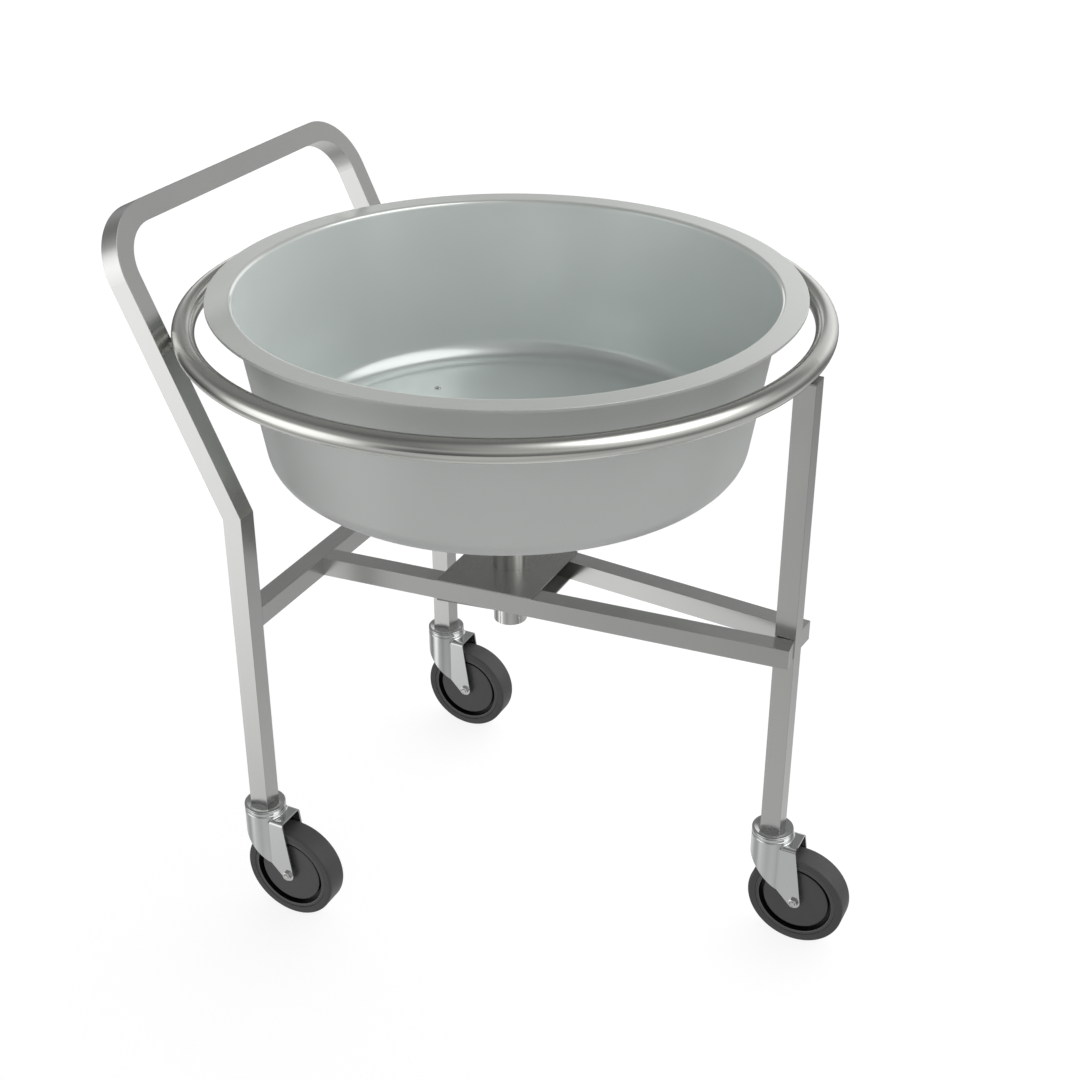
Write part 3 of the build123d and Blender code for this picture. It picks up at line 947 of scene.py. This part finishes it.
@dataclass
class Casters:
    """The three swivel casters."""

    zinc: MetalFinish = MetalFinish("zinc_plate", (0.66, 0.675, 0.67), 0.14)
    bright: MetalFinish = MetalFinish("bolt_steel", (0.66, 0.66, 0.65), 0.16)
    tyre: MouldedFinish = MouldedFinish("tyre_rubber", (0.085, 0.085, 0.085), 0.5)
    sleeve: MouldedFinish = MouldedFinish("bush_nylon", (0.78, 0.77, 0.72), 0.45)
    core_colour: Colour = (0.095, 0.095, 0.096)
    core_roughness: float = 0.36
    head_height: float = 0.0041
    bolt_radius: float = 0.0032
    bore_gap: float = 0.00005
    bevel: float = 0.0006

    def nut(self, place: str) -> Turned:
        """Shapes an axle nut: a chamfered hexagon with a bevelled bore.

        Args:
            place: the caster's place.

        Returns:
            The nut, its face to the right.
        """
        low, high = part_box(f"axle_nut_{place}")
        height = high.y - low.y
        middle = (low + high) / 2.0
        bore = self.bolt_radius + self.bore_gap
        mouth = rings([(bore, self.bevel), (bore + self.bevel, 0.0)])
        side = chamfered_hexagon(high.z - low.z, height)
        base = rings([(bore, height)])
        radius, depth = (np.vstack(rows) for rows in zip(mouth, side, base))
        places = np.array([(middle.x, low.y, middle.z)])
        return Turned(
            f"hex_nut_{place}", node=f"axle_nut_{place}", body=f"caster_{place}", slot="bright_steel",
            facing=Facing.RIGHT, places=places, radius=radius, depth=depth, loop=True,
        )

    def bolt(self, place: str) -> Turned:
        """Shapes an axle bolt: a chamfered hexagonal head, a round shank and a bevelled end.

        Args:
            place: the caster's place.

        Returns:
            The bolt, its head to the left.
        """
        low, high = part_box(f"axle_bolt_{place}")
        length = high.y - low.y
        middle = (low + high) / 2.0
        head = chamfered_hexagon(high.z - low.z, self.head_height)
        shank = rings([
            (self.bolt_radius, self.head_height),
            (self.bolt_radius, length - self.bevel),
            (self.bolt_radius - self.bevel, length),
        ])
        radius, depth = (np.vstack(rows) for rows in zip(head, shank))
        places = np.array([(middle.x, high.y, middle.z)])
        return Turned(
            f"hex_bolt_{place}", node=f"axle_bolt_{place}", body=f"caster_{place}", slot="bright_steel",
            facing=Facing.LEFT, places=places, radius=radius, depth=depth,
        )

    def dress(self) -> None:
        """Dresses each caster's pieces and sets its nut and bolt."""
        bright = self.bright.build()
        finishes = {
            self.zinc.build(): ("caster_cup", "fork", "seal_ring"),
            bright: ("leg_insert", "king_bolt", "race_balls"),
            self.tyre.build(): ("tyre",),
            self.sleeve.build(): ("wheel_bush",),
        }
        for place in CASTER_PLACES:
            for material, pieces in finishes.items():
                for piece in pieces:
                    dress(f"{piece}_{place}", material)
            core = WheelFinish(
                f"core_{place}", self.core_colour, self.core_roughness, joint=f"roll_{place}",
            )
            dress(f"wheel_core_{place}", core.build())
            self.nut(place).build(bright)
            self.bolt(place).build(bright)


@dataclass(frozen=True)
class SoftBox:
    """A round soft light: metal sees its glow, and matt pieces take its fill from the same side.

    Its place, its radius and its edge are in degrees.
    """

    name: str
    azimuth: float
    elevation: float
    radius: float = 26.0
    edge: float = 20.0
    glow: float = 0.0
    fill: float = 0.0

    def shine(self, wiring: Wiring, towards: Socket, level: float) -> Socket:
        """Works out the light in a direction: its level inside its cone, eased to nothing over its edge.

        Args:
            wiring: the world's wiring.
            towards: the direction looked in.
            level: the light at the middle of the cone.

        Returns:
            The light as a number.
        """
        cosine = wiring.dot(towards, tuple(heading(self.azimuth, self.elevation)))
        outer = math.cos(math.radians(self.radius + self.edge))
        inner = math.cos(math.radians(self.radius - self.edge))
        light = wiring.fit(cosine, (outer, inner), (0.0, level), smooth=True)
        light.node.label = self.name
        return light


@dataclass
class Studio:
    """White room, soft lights, pale floor and camera."""

    target_ahead: float = 0.041972
    target_height: float = 0.483882
    distance: float = 2.142544
    azimuth: float = 26.338
    elevation: float = 28.849
    lens: float = 57.99
    sensor: float = 36.0
    floor_half: float = 12.0
    floor_glow: float = 0.86
    floor_colour: Colour = (0.25, 0.25, 0.25)
    mirrored_walls: Levels = (
        (-90, 0.02), (-60, 0.04), (-40, 0.21), (-20, 0.04), (-5, 0.17),
        (10, 0.42), (25, 0.17), (45, 0.17), (90, 0.13),
    )
    matt_walls: Levels = ((-90, 0.02), (-45, 0.0), (-15, 0.0), (15, 0.60), (45, 0.0), (90, 0.0))
    boxes: tuple[SoftBox, ...] = (
        SoftBox("right_box", 93.0, 49.0, edge=4.0, glow=1.30, fill=0.30),
        SoftBox("right_halo", 93.0, 49.0, radius=36.0, edge=5.0, glow=0.33),
        SoftBox("right_low", 90.0, 15.0, glow=0.32),
        SoftBox("right_corner", 135.0, 15.0, glow=0.13),
        SoftBox("left_box", -47.0, -8.0, radius=28.0, edge=5.0, glow=0.58),
        SoftBox("left_core", -47.0, -10.0, radius=16.0, edge=12.0, glow=0.43),
        SoftBox("left_low", -45.0, -20.0, glow=0.25),
        SoftBox("left_high", -45.0, 15.0, glow=0.20),
        SoftBox("front_low", 45.0, 15.0, glow=0.12),
        SoftBox("front_high", 45.0, 50.0, glow=0.21),
        SoftBox("rear_high", -135.0, 50.0, glow=0.09),
        SoftBox("rear_box", 180.0, 8.0, radius=20.0, edge=10.0, glow=0.65),
        SoftBox("rear_strip", -143.0, 7.0, radius=8.0, edge=4.0, glow=0.80),
        SoftBox("floor_left", -45.0, -55.0, glow=0.12),
        SoftBox("floor_front", 0.0, -55.0, glow=0.17),
        SoftBox("floor_right", 45.0, -55.0, glow=0.30),
        SoftBox("floor_rear_right", 135.0, -55.0, glow=0.41),
        SoftBox("rear_low", 170.0, -28.0, radius=16.0, edge=10.0, glow=0.14),
        SoftBox("floor_rear_left", -135.0, -55.0, glow=0.58),
        SoftBox("front_fill", 0.0, -25.0, radius=40.0, edge=30.0, fill=0.32),
        SoftBox("rear_fill", 180.0, 30.0, radius=40.0, edge=30.0, fill=1.06),
        SoftBox("front_right_fill", 45.0, 30.0, radius=40.0, edge=30.0, fill=0.25),
        SoftBox("rear_right_fill", 135.0, 30.0, radius=40.0, edge=30.0, fill=0.39),
    )

    def walls(self, wiring: Wiring, height: Socket, levels: Levels) -> Socket:
        """Shades the room from its floor to its ceiling.

        Args:
            wiring: the world's wiring.
            height: the sine of the elevation that is looked at.
            levels: pairs of an elevation in degrees and the light there.

        Returns:
            The light as a number.
        """
        ramp = wiring.add("ValToRGB", {"Fac": wiring.fit(height, (-1.0, 1.0), (0.0, 1.0))})
        stops = ramp.color_ramp.elements
        while len(stops) < len(levels):
            stops.new(0.5)
        for stop, (elevation, level) in zip(stops, levels):
            stop.position = 0.5 + 0.5 * math.sin(math.radians(elevation))
            stop.color = (level, level, level, 1.0)
        return wiring.add("SeparateColor", {0: ramp.outputs["Color"]}).outputs[0]

    def fill_world(self) -> None:
        """Fills the world: white to the camera, a pale room to metal, the lights' fill to matt pieces."""
        world = bpy.data.worlds.new("studio")
        bpy.context.scene.world = world
        world.use_nodes = True
        world.cycles.sampling_method = "NONE"
        wiring = Wiring(world.node_tree)
        towards = wiring.add("TexCoord").outputs["Generated"]
        height = wiring.add("SeparateXYZ", {0: towards}).outputs["Z"]
        mirrored = self.walls(wiring, height, self.mirrored_walls)
        matt = self.walls(wiring, height, self.matt_walls)
        for box in self.boxes:
            if box.glow > 0.0:
                mirrored = wiring.math("ADD", mirrored, box.shine(wiring, towards, box.glow))
            if box.fill > 0.0:
                matt = wiring.math("ADD", matt, box.shine(wiring, towards, box.fill))
        white = (1.0, 1.0, 1.0, 1.0)
        inputs = ({"Color": white, "Strength": level} for level in (mirrored, matt, 1.0))
        room, plain, seen = (wiring.add("Background", entry).outputs[0] for entry in inputs)
        path = wiring.add("LightPath").outputs
        glossy = wiring.math("MAXIMUM", path["Is Glossy Ray"], path["Is Transmission Ray"])
        lit = wiring.add("MixShader", {0: glossy, 1: plain, 2: room}).outputs[0]
        surface = wiring.add("MixShader", {0: path["Is Camera Ray"], 1: lit, 2: seen}).outputs[0]
        wiring.add("OutputWorld", {"Surface": surface})

    def lay_floor(self) -> None:
        """Lays a pale floor that takes the object's shadow and stays out of its mirrored room."""
        half = self.floor_half
        corners = np.array([(-half, -half, 0.0), (half, -half, 0.0), (half, half, 0.0), (-half, half, 0.0)])
        mesh = bpy.data.meshes.new("floor")
        mesh.from_pydata(corners.tolist(), [], [(0, 1, 2, 3)])
        floor = bpy.data.objects.new("floor", mesh)
        bpy.context.scene.collection.objects.link(floor)
        floor.visible_glossy = False
        floor.visible_diffuse = False
        material, wiring = start_material("pale_floor")
        matt = wiring.add("BsdfDiffuse", {"Color": (*self.floor_colour, 1.0)}).outputs[0]
        glow = wiring.add("Emission", {"Strength": self.floor_glow}).outputs[0]
        both = wiring.add("AddShader", {0: matt, 1: glow}).outputs[0]
        wiring.add("OutputMaterial", {"Surface": both})
        mesh.materials.append(material)

    def set_camera(self) -> None:
        """Stands the camera at the photograph's angle."""
        data = bpy.data.cameras.new("camera")
        data.lens = self.lens
        data.sensor_width = self.sensor
        camera = bpy.data.objects.new("camera", data)
        away = heading(self.azimuth, self.elevation)
        target = Vector((BOWL_AXIS.x + self.target_ahead, 0.0, self.target_height))
        camera.location = target + away * self.distance
        camera.rotation_euler = away.to_track_quat("Z", "Y").to_euler()
        bpy.context.scene.collection.objects.link(camera)
        bpy.context.scene.camera = camera

    def build(self) -> None:
        """Sets the whole studio up."""
        bpy.context.scene.view_settings.view_transform = "Standard"
        self.fill_world()
        self.lay_floor()
        self.set_camera()


def main() -> None:
    """Dresses each sub-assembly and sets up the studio."""
    logging.basicConfig(level=logging.INFO, format="%(name)s: %(message)s")
    for assembly in (Frame(), BumperRing(), Pivot(), Bowl(), BowlScrews(), Casters()):
        assembly.dress()
    Studio().build()


if __name__ == "__main__":
    main()
